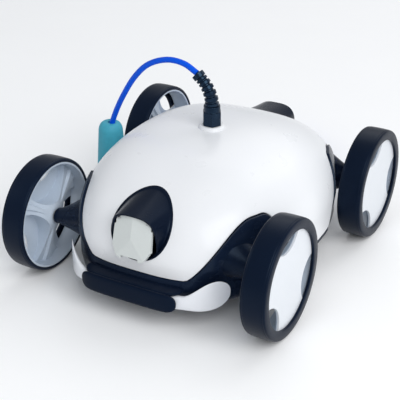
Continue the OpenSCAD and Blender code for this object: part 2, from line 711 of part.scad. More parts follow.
basket_w = 116;
basket_l = 150;
basket_h = 26;
basket_z = casing_z + hatch_t;
post = 4;
module filter_frame() color("gray") translate([0, 0, basket_z]) {
    for (z = [0, basket_h - post]) translate([0, 0, z]) linear_extrude(post) difference() {
        square([basket_w, basket_l], center = true);
        square([basket_w - 2 * post, basket_l - 2 * post], center = true);
    }
    for (x = [-1, 1]) for (y = [-1, 0, 1])
        translate([x * (basket_w - post) / 2, y * (basket_l - post) / 2, basket_h / 2])
        cube([post, post, basket_h], center = true);
    translate([0, 0, basket_h - post / 2]) cube([basket_w - 2 * post, post, post], center = true);
}
mesh_t = 1;
mesh_gap = 0.2;
module filter_mesh() color("whitesmoke") translate([0, 0, basket_z + 0.5]) difference() {
    w = basket_w - 2 * post - 2 * mesh_gap;
    l = basket_l - 2 * post - 2 * mesh_gap;
    h = basket_h - post - mesh_gap - 0.5;
    translate([0, 0, h / 2]) cube([w, l, h], center = true);
    translate([0, 0, h / 2 - mesh_t]) cube([w - 2 * mesh_t, l - 2 * mesh_t, h], center = true);
}

// Flaps over the two intakes, inside the hatch, each turning on its own stub pins
module intake_flap(y) color("darkslategray") translate([0, y * intake_pivot_y, basket_z + intake_pivot_z]) {
    mirror([0, y > 0 ? 1 : 0, 0]) {
        rod_x(-intake_w / 2 - 5.5, intake_w / 2 + 5.5, intake_pin);
        translate([-intake_w / 2 - 2, 0, -1.2]) cube([intake_w + 4, intake_l + 6, 1.4]);
    }
}

latch_y = hatch_l / 2 + hatch_gap + 9;
latch_x = 38;
latch_z = casing_z - 4.3;
// Turn button that swings over the hatch's edge
module latch(side) color("gainsboro") translate([side * latch_x, -latch_y, latch_z]) {
    difference() {
        union() {
            cylinder(h = 4, r = 6, $fn = 48);
            translate([-4, 0, 0]) cube([8, 7.4, 4]);
        }
        translate([0, 0, -1]) cylinder(h = 6, r = screw_r + bore_gap, $fn = 48);
        translate([0, 0, -1]) cylinder(h = 2, r = screw_head_r - 0.5, $fn = 48);
    }
}

// ---------------------------------------------------------------- cable
float_at = [-177.5, 23];
float_z = [50, 143];
crown = 14; // height of the float's rounded top
crown_r = 8.75;
coil_at = [-79, 312];
coil_mid_r = 60;
coil_turns_wide = 6;
coil_turns_high = 4;
coil_w = coil_turns_wide * cable_d;
coil_h = coil_turns_high * cable_d;
plug_z = 10.5;
cable_route = [
    [-22, 0, 252], [-43, 2, 261], [-70, 4, 261], [-101, 7, 248], [-125, 10, 225], [-147, 14, 193],
    [-165, 19, 161], [-175, 22, 136], [-177.5, 23, 110], [-177.5, 23, 80], [-177.5, 23, 52],
    [-177, 24, 36], [-173, 29, 20], [-165, 38, 8], [-153, 53, 4], [-140, 82, 4], [-133, 115, 4],
    [-131, 145, 4], [-130, 172, 4], [-124, 198, 4], [-107, 221, 4], [-79, 232, 4],
];
// The cable's end, from the top of the coil down to the plug
tail_route = [[-84, 232.2, 28], [-70, 230.6, 27], [-52, 227.6, 21], [-36, 226.5, 13], [-18, 226.5, plug_z]];
module cable() color("royalblue") for (route = [cable_route, tail_route])
    swept(curve(route, 3), [for (i = [0:3 * (len(route) - 1)]) cable_d / 2], [0, 1, 0], 10);
module cable_float() color("mediumturquoise") translate([float_at[0], float_at[1], 0])
    rotate_extrude() polygon([
    [cable_d / 2 + bore_gap, float_z[0]],
    [float_d / 2 - 3, float_z[0]], [float_d / 2, float_z[0] + 3], [float_d / 2, float_z[0] + crown],
    for (q = [0:15:75]) [crown_r * (1 + cos(q)), float_z[1] - crown * (1 - sin(q))],
    [cable_d / 2 + bore_gap, float_z[1]],
]);
module cable_coil() color("royalblue") translate([coil_at[0], coil_at[1], 0]) rotate_extrude()
    translate([coil_mid_r, coil_h / 2]) rounded_bar(coil_w, coil_h, cable_d / 2);
plug_from = 60; // where the plug's strain relief starts along the coil's tangent
plug_out = 5.5; // how far the plug's axis lies outside the middle of the outermost turn
plug_parts = [[0, 18, 4.5, 8], [18, 48, 9, 9], [48, 58, 10.5, 10.5], [58, 72, 7, 7]];
module cable_plug() color(black)
    translate([coil_at[0] + plug_from, coil_at[1] - coil_mid_r - (coil_w - cable_d) / 2 - plug_out, plug_z])
    rotate([0, 90, 0]) for (p = plug_parts)
        translate([0, 0, p[0]]) cylinder(h = p[1] - p[0], r1 = p[2], r2 = p[3]);

top_shell();
lower_casing();
screws();
filter_chamber();
axle_pins();
axle_clips();
for (i = [0:3]) {
    axle_arm(i);
    tyre(i);
    wheel_rim(i);
    wheel_cover(i);
    wheel_bush(i);
}
bumper(FRONT);  // front_bumper
bumper(REAR);  // rear_bumper
bumper_pad(FRONT);  // front_bumper_pad
bumper_pad(REAR);  // rear_bumper_pad
nozzle(FRONT);  // front_nozzle
nozzle(REAR);  // rear_nozzle
duct(FRONT);  // front_duct
duct(REAR);  // rear_duct
flap_pins();
flap(FRONT);  // front_flap
flap(REAR);  // rear_flap
motor_housing();
motor_caps();
motor_seals();
motor_core();
motor_shaft();
propeller(FRONT);  // front_propeller
propeller(REAR);  // rear_propeller
propeller_nuts();
gland_collar();
gland_nut();
strain_relief();
filter_hatch();
hatch_pin();
filter_frame();
filter_mesh();
intake_flap(FRONT);  // intake_flap_front
intake_flap(REAR);  // intake_flap_rear
latch(LEFT);  // latch_left
latch(RIGHT);  // latch_right
cable();
cable_float();
cable_coil();
cable_plug();
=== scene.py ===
import json
import math
import bmesh
import bpy
import numpy as np
from mathutils import Matrix, Vector


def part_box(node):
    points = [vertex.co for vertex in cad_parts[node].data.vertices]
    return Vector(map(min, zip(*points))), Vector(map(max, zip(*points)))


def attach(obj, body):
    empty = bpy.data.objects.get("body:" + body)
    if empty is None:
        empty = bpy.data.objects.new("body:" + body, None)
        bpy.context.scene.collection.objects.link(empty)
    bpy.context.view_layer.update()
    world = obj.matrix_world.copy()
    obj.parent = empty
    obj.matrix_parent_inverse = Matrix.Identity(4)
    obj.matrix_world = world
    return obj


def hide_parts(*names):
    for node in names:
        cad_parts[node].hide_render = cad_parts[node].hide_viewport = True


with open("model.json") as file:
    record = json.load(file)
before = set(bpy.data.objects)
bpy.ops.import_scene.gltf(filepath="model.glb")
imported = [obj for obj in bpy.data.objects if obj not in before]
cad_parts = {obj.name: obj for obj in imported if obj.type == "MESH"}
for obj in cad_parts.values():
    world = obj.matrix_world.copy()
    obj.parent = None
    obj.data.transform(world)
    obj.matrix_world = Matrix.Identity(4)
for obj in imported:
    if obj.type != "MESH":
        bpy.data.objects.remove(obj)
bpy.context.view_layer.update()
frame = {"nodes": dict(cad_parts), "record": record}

# Looks of the wheeled pool cleaner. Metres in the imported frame: the front nozzle faces -Y.
scene = bpy.context.scene
FRONT, REAR = -1, 1
CORNERS = ("front_left", "front_right", "rear_left", "rear_right")
MM = 0.001
WELD_DIST = 1e-6  # points of one piece nearer than this are one point


# ------------------------------------------------------------------ camera
# A fit to the four equal wheels and the two mirror planes of the body.
CAMERA_AT = Vector((0.63187, -1.16476, 0.76400))
CAMERA_BACK = Vector((0.4322, -0.77378, 0.4631)).normalized()
CAMERA_ROLL = math.radians(-0.278)
CAMERA_LENS = 98.16
SENSOR_WIDTH = 36.0

camera = bpy.data.objects.new("camera", bpy.data.cameras.new("camera"))
scene.collection.objects.link(camera)
camera.data.lens = CAMERA_LENS
camera.data.sensor_width = SENSOR_WIDTH
camera.data.clip_end = 50.0
level = CAMERA_BACK.to_track_quat("Z", "Y").to_matrix()
camera.matrix_world = Matrix.Translation(CAMERA_AT) @ (level @ Matrix.Rotation(CAMERA_ROLL, 3, "Z")).to_4x4()
scene.camera = camera


# ------------------------------------------------------------------ mesh tools
def ease(t):
    c = min(max(t, 0.0), 1.0)
    return c * c * (3 - 2 * c)


def spow(v, e):
    return math.copysign(abs(v) ** e, v)


def turned(p, end):
    """A point of the front, or the same point of the rear."""
    return (p[0], p[1], p[2]) if end == FRONT else (-p[0], -p[1], p[2])


def angles(n):
    return [2 * math.pi * (i + 0.5) / n for i in range(n)]


def piece(name, verts, faces, body, slot, stands_for=(), sharp=35.0, look=None):
    """A mesh from points and faces, in metres, riding on a body."""
    mesh = bpy.data.meshes.new(name)
    bm = bmesh.new()
    made = [bm.verts.new(v) for v in verts]
    for f in faces:
        corners = []
        for i in f:
            if not corners or made[i] not in corners:
                corners.append(made[i])
        if len(corners) > 2:
            try:
                bm.faces.new(corners)
            except ValueError:
                pass
    bmesh.ops.remove_doubles(bm, verts=bm.verts, dist=WELD_DIST)
    bmesh.ops.recalc_face_normals(bm, faces=bm.faces)
    for f in bm.faces:
        f.smooth = True
    bm.to_mesh(mesh)
    bm.free()
    mesh.set_sharp_from_angle(angle=math.radians(sharp))
    obj = bpy.data.objects.new(name, mesh)
    scene.collection.objects.link(obj)
    return dress(obj, body, slot, stands_for, look)


def dress(obj, body, slot, stands_for=(), look=None):
    obj.data.materials.clear()
    obj.data.materials.append(MATERIALS[look or slot])
    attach(obj, body)
    if stands_for:
        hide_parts(*stands_for)
    return obj


def loft(rings, looped=False):
    """Points and faces of a skin through closed rings of equal length."""
    n, m = len(rings[0]), len(rings)
    verts = [p for r in rings for p in r]
    faces = []
    for i in range(m if looped else m - 1):
        k = ((i + 1) % m) * n
        for j in range(n):
            faces.append((i * n + j, i * n + (j + 1) % n, k + (j + 1) % n, k + j))
    if not looped:
        faces.append(tuple(range(n)))
        faces.append(tuple(range((m - 1) * n, m * n)))
    return verts, faces


def lathe(profile, place, n=144):
    """A closed profile of (radius, height) turned about local Z, each point sent through place."""
    rings = []
    for r, z in profile:
        rings.append([place((r * math.cos(a), r * math.sin(a), z)) for a in angles(n)])
    return loft(rings, looped=True)


def rounded(points, radii, steps=4):
    """The closed outline with each corner turned into an arc of the given radius."""
    out = []
    n = len(points)
    for i in range(n):
        p, a, b = (Vector(points[j % n]) for j in (i, i - 1, i + 1))
        r = radii[i]
        if r <= 0:
            out.append(tuple(p))
            continue
        u, v = (a - p), (b - p)
        reach = min(r, 0.49 * u.length, 0.49 * v.length)
        start, end = p + u.normalized() * reach, p + v.normalized() * reach
        for k in range(steps + 1):
            t = k / steps
            out.append(tuple((1 - t) ** 2 * start + 2 * t * (1 - t) * p + t * t * end))
    return out


def joined(parts):
    """Several (points, faces) as one."""
    verts, faces = [], []
    for v, f in parts:
        start = len(verts)
        verts += list(v)
        faces += [tuple(i + start for i in c) for c in f]
    return verts, faces


def spline(route, n):
    """Points on a smooth curve through the route, n to each span."""
    pts = [Vector(p) for p in route]
    out = []
    for i in range(len(pts) - 1):
        a, b, c, d = pts[max(i - 1, 0)], pts[i], pts[i + 1], pts[min(i + 2, len(pts) - 1)]
        for k in range(n):
            t = k / n
            bend, twist = 2 * a - 5 * b + 4 * c - d, 3 * b - a - 3 * c + d
            out.append(0.5 * (2 * b + (c - a) * t + bend * t**2 + twist * t**3))
    return out + [pts[-1]]


def swept(path, radii, side, n):
    """A round bar along the path, with a radius for each of its points."""
    rings = []
    u = Vector(side)
    for i, p in enumerate(path):
        t = (path[min(i + 1, len(path) - 1)] - path[max(i - 1, 0)]).normalized()
        u = (u - t * u.dot(t)).normalized()
        v = t.cross(u)
        rings.append([p + radii[i] * (u * math.cos(a) + v * math.sin(a)) for a in angles(n)])
    return loft(rings)


# ------------------------------------------------------------------ materials
DRIFT_SCALE = 9.0  # of the broad colour drift, per metre
SCUFF_SCALE = 160.0
SCUFF_STRETCH = (1.0, 0.22, 1.6)
GRAIN_HEIGHT = 0.0008
WEAVE_HEIGHT = 0.0004


def noise(nt, coords, scale, detail=3.0, rough=0.55, stretch=None):
    source = coords
    if stretch:
        m = nt.nodes.new("ShaderNodeMapping")
        m.inputs["Scale"].default_value = stretch
        nt.links.new(coords, m.inputs["Vector"])
        source = m.outputs["Vector"]
    n = nt.nodes.new("ShaderNodeTexNoise")
    n.inputs["Scale"].default_value = scale
    n.inputs["Detail"].default_value = detail
    n.inputs["Roughness"].default_value = rough
    nt.links.new(source, n.inputs["Vector"])
    return n.outputs["Fac"]


def ranged(nt, value, low, high, to_low, to_high):
    r = nt.nodes.new("ShaderNodeMapRange")
    r.inputs["From Min"].default_value = low
    r.inputs["From Max"].default_value = high
    r.inputs["To Min"].default_value = to_low
    r.inputs["To Max"].default_value = to_high
    nt.links.new(value, r.inputs["Value"])
    return r.outputs["Result"]


def mixed(nt, factor, a, b):
    m = nt.nodes.new("ShaderNodeMix")
    m.data_type = "RGBA"
    nt.links.new(factor, m.inputs["Factor"])
    for value, name in ((a, "A"), (b, "B")):
        socket = next(s for s in m.inputs if s.name == name and s.type == "RGBA")
        if isinstance(value, tuple):
            socket.default_value = (*value, 1.0)
        else:
            nt.links.new(value, socket)
    return next(s for s in m.outputs if s.type == "RGBA")


def shade(colour, k):
    return tuple(min(c * k, 1.0) for c in colour)


def material(
    name,
    colour,
    rough,
    mottle=0.05,
    rough_spread=0.06,
    grain=1400.0,
    grain_depth=0.02,
    metal=0.0,
    coat=0.0,
    coat_rough=0.1,
    specular=0.5,
    scuff=0.25,
    stretch=None,
    tint=None,
    gleam=None,
):
    """Moulded or machined surface: broad colour drift, patches and fine scuffs, and grain in the bump."""
    mat = bpy.data.materials.new(name)
    mat.use_nodes = True
    nt = mat.node_tree
    bsdf = nt.nodes["Principled BSDF"]
    bsdf.inputs["Metallic"].default_value = metal
    bsdf.inputs["Coat Weight"].default_value = coat
    bsdf.inputs["Coat Roughness"].default_value = coat_rough
    bsdf.inputs["Specular IOR Level"].default_value = specular
    if gleam:
        bsdf.inputs["Specular Tint"].default_value = (*gleam, 1.0)
    coords = nt.nodes.new("ShaderNodeTexCoord").outputs["Object"]
    drift = ranged(nt, noise(nt, coords, DRIFT_SCALE, 2.0), 0.3, 0.7, 0.0, 1.0)
    tone = mixed(nt, drift, shade(colour, 1 - mottle), tint or shade(colour, 1 + mottle))
    speck = noise(nt, coords, grain * 0.3, 2.0)
    tone = mixed(nt, ranged(nt, speck, 0.35, 0.75, 0.0, 0.35), tone, shade(colour, 1 - 2 * mottle))
    nt.links.new(tone, bsdf.inputs["Base Color"])
    cloud = noise(nt, coords, DRIFT_SCALE * 3.1, 4.0, 0.6)
    patches = ranged(nt, cloud, 0.25, 0.75, rough - rough_spread, rough + rough_spread)
    scratches = noise(nt, coords, SCUFF_SCALE, 3.0, 0.6, stretch or SCUFF_STRETCH)
    marks = ranged(nt, scratches, 0.6, 0.74, 0.0, scuff * 0.3)
    add = nt.nodes.new("ShaderNodeMath")
    add.operation = "ADD"
    add.use_clamp = True
    nt.links.new(patches, add.inputs[0])
    nt.links.new(marks, add.inputs[1])
    nt.links.new(add.outputs[0], bsdf.inputs["Roughness"])
    grains = nt.nodes.new("ShaderNodeBump")
    grains.inputs["Strength"].default_value = grain_depth
    grains.inputs["Distance"].default_value = GRAIN_HEIGHT
    nt.links.new(noise(nt, coords, grain, 2.0), grains.inputs["Height"])
    nt.links.new(grains.outputs["Normal"], bsdf.inputs["Normal"])
    return mat


def woven(name, thread, hole, pitch):
    """Filter cloth: crossed threads, with darker holes between them."""
    mat = material(name, thread, 0.6, grain=3000.0, grain_depth=0.1)
    nt = mat.node_tree
    bsdf = nt.nodes["Principled BSDF"]
    coords = nt.nodes.new("ShaderNodeTexCoord").outputs["Object"]
    split = nt.nodes.new("ShaderNodeSeparateXYZ")
    nt.links.new(coords, split.inputs[0])
    waves = []
    for axis in range(3):
        m = nt.nodes.new("ShaderNodeMath")
        m.operation = "MULTIPLY"
        m.inputs[1].default_value = 2 * math.pi / pitch
        s = nt.nodes.new("ShaderNodeMath")
        s.operation = "SINE"
        nt.links.new(split.outputs[axis], m.inputs[0])
        nt.links.new(m.outputs[0], s.inputs[0])
        waves.append(s.outputs[0])
    total = waves[0]
    for w in waves[1:]:
        a = nt.nodes.new("ShaderNodeMath")
        a.operation = "MAXIMUM"
        nt.links.new(total, a.inputs[0])
        nt.links.new(w, a.inputs[1])
        total = a.outputs[0]
    old = bsdf.inputs["Base Color"].links[0].from_socket
    nt.links.new(mixed(nt, ranged(nt, total, 0.1, 0.75, 0.0, 1.0), hole, old), bsdf.inputs["Base Color"])
    bump = nt.nodes.new("ShaderNodeBump")
    bump.inputs["Strength"].default_value = 0.6
    bump.inputs["Distance"].default_value = WEAVE_HEIGHT
    nt.links.new(total, bump.inputs["Height"])
    nt.links.new(bump.outputs["Normal"], bsdf.inputs["Normal"])
    return mat


NAVY = (0.0030, 0.0070, 0.0190)
SKY = (0.55, 0.75, 1.0)  # tint of the sheen on the black parts
WHITE = (0.80, 0.815, 0.84)
MATERIALS = {
    "shell": material(
        "shell_white", WHITE, 0.30, mottle=0.012, rough_spread=0.04, grain_depth=0.006, coat=0.14,
        coat_rough=0.14, specular=0.35, scuff=0.03, tint=(0.815, 0.825, 0.845),
    ),
    "casing": material(
        "casing_black", (0.0045, 0.0095, 0.025), 0.26, mottle=0.18, grain_depth=0.03,
        specular=0.20, gleam=SKY,
    ),
    "arm": material(
        "arm_black", (0.0035, 0.0080, 0.022), 0.27, mottle=0.15, grain_depth=0.02, specular=0.12,
        gleam=SKY,
    ),
    "tyre": material(
        "tyre_rubber", NAVY, 0.34, mottle=0.16, grain=1800.0, grain_depth=0.07, specular=0.12,
        scuff=0.4, gleam=SKY,
    ),
    "wheel": material(
        "wheel_white", (0.72, 0.75, 0.79), 0.32, mottle=0.02, grain_depth=0.02, coat=0.1,
        coat_rough=0.2,
    ),
    # Painted shade: a darker blue-grey copy of the wheel white, worn by the wheel's web, band and hub for
    # their shaded inside.
    "web": material(
        "wheel_inside", (0.50, 0.575, 0.67), 0.34, mottle=0.03, grain_depth=0.02, coat=0.1,
        coat_rough=0.2,
    ),
    "bush": material("bush_nylon", (0.55, 0.56, 0.55), 0.45, mottle=0.05),
    "steel": material(
        "pin_steel", (0.62, 0.63, 0.64), 0.28, mottle=0.05, metal=1.0, stretch=(6.0, 0.6, 6.0),
        grain_depth=0.03,
    ),
    "bumper": material(
        "bumper_white", (0.74, 0.76, 0.80), 0.30, mottle=0.015, rough_spread=0.04,
        grain_depth=0.01, coat=0.2, coat_rough=0.12, scuff=0.3,
    ),
    "pad": material(
        "pad_rubber", NAVY, 0.42, mottle=0.15, grain=1800.0, grain_depth=0.08, specular=0.09,
        scuff=0.4, gleam=SKY,
    ),
    "nozzle": material(
        "nozzle_black", (0.0035, 0.0070, 0.018), 0.24, mottle=0.12, grain_depth=0.012,
        specular=0.11, gleam=SKY,
    ),
    "flap": material("flap_grey", (0.60, 0.635, 0.625), 0.36, mottle=0.03, grain_depth=0.03),
    "inner": material("inner_plastic", (0.045, 0.05, 0.058), 0.45, mottle=0.1, grain_depth=0.05),
    "motor": material(
        "motor_housing", (0.10, 0.105, 0.115), 0.38, mottle=0.08, metal=0.4,
        stretch=(5.0, 0.4, 5.0),
    ),
    "core": material(
        "motor_windings", (0.42, 0.19, 0.05), 0.35, mottle=0.25, metal=0.8,
        stretch=(0.4, 8.0, 0.4), grain_depth=0.2,
    ),
    "seal": material("seal_rubber", (0.012, 0.012, 0.013), 0.6, mottle=0.15, grain_depth=0.1),
    "propeller": material("propeller_grey", (0.42, 0.45, 0.47), 0.35, mottle=0.05),
    "gland": material(
        "gland_black", (0.0035, 0.0075, 0.019), 0.24, mottle=0.15, grain_depth=0.02, specular=0.45,
        gleam=(0.35, 0.65, 1.0),
    ),
    "filter_frame": material("filter_frame", (0.36, 0.38, 0.40), 0.5, mottle=0.06, grain_depth=0.05),
    "filter_mesh": woven("filter_cloth", (0.70, 0.71, 0.70), (0.10, 0.105, 0.11), 0.0016),
    "latch": material("latch_grey", (0.50, 0.53, 0.56), 0.4, mottle=0.05, grain_depth=0.04),
    "rubber_flap": material(
        "flap_rubber", (0.018, 0.02, 0.024), 0.55, mottle=0.15, grain_depth=0.12, scuff=0.6,
    ),
    "cable": material(
        "cable_blue", (0.0, 0.085, 0.72), 0.36, mottle=0.08, grain_depth=0.03, coat=0.04,
        coat_rough=0.2, specular=0.2, scuff=0.4, gleam=SKY,
    ),
    "float": material(
        "float_foam", (0.045, 0.36, 0.48), 0.62, mottle=0.10, grain=700.0, grain_depth=0.35,
        scuff=0.5,
    ),
    "plug": material(
        "plug_black", (0.006, 0.008, 0.013), 0.42, mottle=0.15, grain_depth=0.06, specular=0.3,
    ),
}

# ------------------------------------------------------------------ cable, coil and plug
# The route repeats the CAD cable's points: out of the gland, over to the float, down to the
# ground, under the body and into a stored coil behind it.
ROOT = "cleaner_body"
CABLE_D = 0.008
cable_route = [
    (-22, 0, 252), (-43, 2, 261), (-70, 4, 261), (-101, 7, 248), (-125, 10, 225), (-147, 14, 193),
    (-165, 19, 161), (-175, 22, 136), (-177.5, 23, 110), (-177.5, 23, 80), (-177.5, 23, 52),
    (-177, 24, 36), (-173, 29, 20), (-165, 38, 8), (-153, 53, 4), (-140, 82, 4), (-133, 115, 4),
    (-131, 145, 4), (-130, 172, 4), (-124, 198, 4), (-107, 221, 4),
]
tail_route = [(-70, 230.6, 27), (-52, 227.6, 21), (-36, 226.5, 13), (-20, 226.5, 10.5), (-14, 226.5, 10.5)]
COIL_AT = (-79.0, 312.0)
COIL_OUT = 80.0
COIL_WIDE, COIL_HIGH = 6, 4
STEPS = 20
STEP_OVER_FROM = 0.72  # share of a turn after which the cable moves on to the next one


def coil_points():
    """Turns side by side in layers, winding in and then out again, with a step over to the next turn."""
    out = []
    turns = COIL_WIDE * COIL_HIGH
    pitch = CABLE_D / MM
    for k in range(turns * STEPS - 1):
        turn, share = divmod(k, STEPS)
        layer, place = divmod(turn, COIL_WIDE)
        over = ease((share / STEPS - STEP_OVER_FROM) / 0.28)
        column = place if layer % 2 == 0 else COIL_WIDE - 1 - place
        at_end = place == COIL_WIDE - 1
        step = 0 if at_end else (over if layer % 2 == 0 else -over)
        climb = over if at_end and layer < COIL_HIGH - 1 else 0
        r = COIL_OUT - pitch * (column + step)
        a = -math.pi / 2 + 2 * math.pi * share / STEPS
        x, y = COIL_AT[0] + r * math.cos(a), COIL_AT[1] + r * math.sin(a)
        out.append((x, y, pitch * (0.5 + layer + climb)))
    return out


CABLE_LIFT = Vector((0, 0, 0.0004))
cable_points = [Vector(p) * MM + CABLE_LIFT for p in cable_route + coil_points() + tail_route]
curve = bpy.data.curves.new("cable_run", "CURVE")
curve.dimensions = "3D"
curve.bevel_depth = CABLE_D / 2
curve.bevel_resolution = 5
curve.resolution_u = 5
curve.use_fill_caps = True
line = curve.splines.new("BEZIER")
line.bezier_points.add(len(cable_points) - 1)
for i, p in enumerate(cable_points):
    before, after = cable_points[max(i - 1, 0)], cable_points[min(i + 1, len(cable_points) - 1)]
    along = (after - before).normalized()
    knot = line.bezier_points[i]
    knot.co = p
    knot.handle_left_type = knot.handle_right_type = "FREE"
    knot.handle_left = p - along * (p - before).length / 3
    knot.handle_right = p + along * (after - p).length / 3
cable = bpy.data.objects.new("cable_run", curve)
scene.collection.objects.link(cable)
dress(cable, ROOT, "cable", ("cable", "cable_coil"))


FLUTES, FLUTE_DEPTH = 12, 0.45


def lofted_plug():
    """Plug with a ribbed strain relief, a grip with flutes, a collar and a nose with a recess."""
    start = Vector(tail_route[-1])
    start.x = COIL_AT[0] + 60
    profile = [(0, 4.1), (0.6, 4.6)]
    for k in range(5):
        x, r = 2.2 + 3.1 * k, 5.0 + 0.6 * k
        profile += [(x, r - 0.7), (x + 0.3, r + 0.3), (x + 1.6, r + 0.4), (x + 1.9, r - 0.5)]
    profile += [(18, 8.2), (18.6, 8.9), (20, 9.1), (46, 9.1), (47.6, 8.8)]
    profile += [(48, 9.9), (48.8, 10.5), (57.2, 10.5), (58, 9.9)]
    profile += [(58.1, 7.0), (71.2, 7.0), (72, 6.4), (72, 4.6), (66, 4.4)]
    rings = []
    for x, r in profile:
        flute = FLUTE_DEPTH if 19 < x < 47 else 0.0
        ring = []
        for a in angles(96):
            cut = r - flute * max(0, math.cos(FLUTES * a)) ** 2
            ring.append((start + Vector((x, cut * math.cos(a), cut * math.sin(a)))) * MM)
        rings.append(ring)
    return loft(rings)


plug = piece("plug_body", *lofted_plug(), ROOT, "plug", ("cable_plug",), sharp=40)
float_low, float_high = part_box("cable_float")
float_mid = (float_low + float_high) / 2
float_r = (float_high.x - float_low.x) / 2
CROWN = 0.014
FLOAT_BORE = CABLE_D / 2 + 0.0001
FLOAT_TOP_R = 0.0175  # the float tapers to this where its crown starts
FLOAT_ROWS = 8


def float_profile():
    low, high = float_low.z, float_high.z
    straight = high - low - 2 * CROWN
    out = [(FLOAT_BORE, low), (float_r - 0.003, low), (float_r - 0.0008, low + 0.0009)]
    out += [(float_r, low + 0.004), (float_r, low + CROWN)]
    for k in range(1, FLOAT_ROWS):
        r = float_r - (float_r - FLOAT_TOP_R) * k / FLOAT_ROWS
        out.append((r, low + CROWN + straight * k / FLOAT_ROWS))
    for a in np.linspace(0, math.radians(82), 10):
        out.append((FLOAT_TOP_R / 2 * (1 + math.cos(a)), high - CROWN * (1 - math.sin(a))))
    return out + [(FLOAT_BORE, high - 0.0004)]


def at_float(p):
    return (p[0] + float_mid.x, p[1] + float_mid.y, p[2])


float_mesh = lathe(float_profile(), at_float, 96)
floater = piece("float_body", *float_mesh, ROOT, "float", ("cable_float",), sharp=60)
TIE_TURNS = (math.radians(35), math.radians(200))
TIE_HALF = 5.0
TIE_T = 0.9


def box_outline(half_x, low, high, radius, steps):
    corners = [(-half_x, low), (half_x, low), (half_x, high), (-half_x, high)]
    return rounded(corners, [radius] * 4, steps)


def coil_tie(turn):
    """Strap round the coil's turns, with a small buckle block on top."""
    wide, high = COIL_WIDE * CABLE_D / MM, COIL_HIGH * CABLE_D / MM
    mid = COIL_OUT - (COIL_WIDE - 1) * CABLE_D / MM / 2
    outline = box_outline(wide / 2 + TIE_T, 0.2, high + TIE_T, 4.5, 6)
    inner = box_outline(wide / 2, 0.6, high, 4.0, 6)
    c, s = math.cos(turn), math.sin(turn)

    def put(r, t, z):
        return Vector((COIL_AT[0] + (mid + r) * c - t * s, COIL_AT[1] + (mid + r) * s + t * c, z)) * MM

    shapes = ((outline, -TIE_HALF), (outline, TIE_HALF), (inner, TIE_HALF), (inner, -TIE_HALF))
    strap = loft([[put(p[0], t, p[1]) for p in shape] for shape, t in shapes], looped=True)
    block = box_outline(8, -6, 6, 2, 4)
    levels = ((high + 0.5, 1), (high + 2.2, 1), (high + 2.8, 0.92))
    buckle = loft([[put(p[0] * k, p[1] * k, z) for p in block] for z, k in levels])
    return joined([strap, buckle])


ties = piece("coil_ties", *joined([coil_tie(turn) for turn in TIE_TURNS]), ROOT, "plug", sharp=40)

# ------------------------------------------------------------------ body skin
shell_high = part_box("top_shell")[1]
SHELL_A, SHELL_B = shell_high.x / MM, shell_high.y / MM
SHELL_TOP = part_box("gland_collar")[0].z / MM
SIDE_POW = 3.05
END_POW = 2.2
DOME_FOOT = 78.0
DOME_H = SHELL_TOP - DOME_FOOT
DOME_M, DOME_P = 1.12, 1.8
WALL_DROP = 100.0
LIP_END, LIP_ARCH, LIP_SIDE = 64.0, 131.0, 45.0
SHELL_WALL = 3.0


def skin(u, q, inset=0.0):
    """Point of the body skin: u is 0 at the top and 1 at the dome's foot, q the angle round the body."""
    w = math.sin(math.pi / 2 * min(u, 1)) ** 2
    cq, sq = math.cos(q), math.sin(q)
    s = w ** (1 / (SIDE_POW * cq * cq + END_POW * sq * sq))
    rise = 1 - (s**SIDE_POW * cq * cq + s**END_POW * sq * sq) ** DOME_M
    return Vector((
        (SHELL_A - inset) * s * spow(cq, 2 / SIDE_POW),
        (SHELL_B - inset) * s * spow(sq, 2 / END_POW),
        DOME_FOOT + (DOME_H - inset) * max(rise, 0) ** (1 / DOME_P) - WALL_DROP * max(u - 1, 0),
    ))


def skin_u(z):
    if z < DOME_FOOT:
        return 1 + (DOME_FOOT - z) / WALL_DROP
    return math.asin(math.sqrt((1 - ((z - DOME_FOOT) / DOME_H) ** DOME_P) ** (1 / DOME_M))) / (math.pi / 2)


def outline_turn(q):
    return math.degrees(math.atan2(abs(math.sin(q)), abs(math.cos(q)) ** (2 / SIDE_POW)))


def lip_z(q):
    turn = outline_turn(q)
    if turn > 36:
        return LIP_END + (LIP_ARCH - LIP_END) * ease((max(66 - turn, 0) / 30) ** 0.72)
    return LIP_SIDE + (LIP_ARCH - LIP_SIDE) * ease((max(turn - 13, 0) / 18) ** 0.7)


def skin_normal(p, inset=0.0):
    """Direction out of the skin at a point in millimetres."""
    x, y, z = p
    a, b, h = SHELL_A - inset, SHELL_B - inset, DOME_H - inset
    base = max(abs(x / a) ** SIDE_POW + abs(y / b) ** END_POW, 1e-9)
    k = DOME_M * base ** (DOME_M - 1) if z > DOME_FOOT else 1.0
    up = DOME_P * (max(z - DOME_FOOT, 0) / h) ** (DOME_P - 1) / h
    across = k * SIDE_POW * spow(x / a, SIDE_POW - 1) / a
    along = k * END_POW * spow(y / b, END_POW - 1) / b
    return Vector((across, along, up)).normalized()


def skin_y(x, z):
    """How far the skin stands from the middle, at x and z."""
    top = (1 - (max(z - DOME_FOOT, 0) / DOME_H) ** DOME_P) ** (1 / DOME_M)
    return SHELL_B * max(top - abs(x / SHELL_A) ** SIDE_POW, 0) ** (1 / END_POW)


# ------------------------------------------------------------------ top shell
JET_Z = (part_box("motor_shaft")[0].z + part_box("motor_shaft")[1].z) / 2 / MM
BEZEL_R = (41.4, 37.7)
NECK_R = 11.5


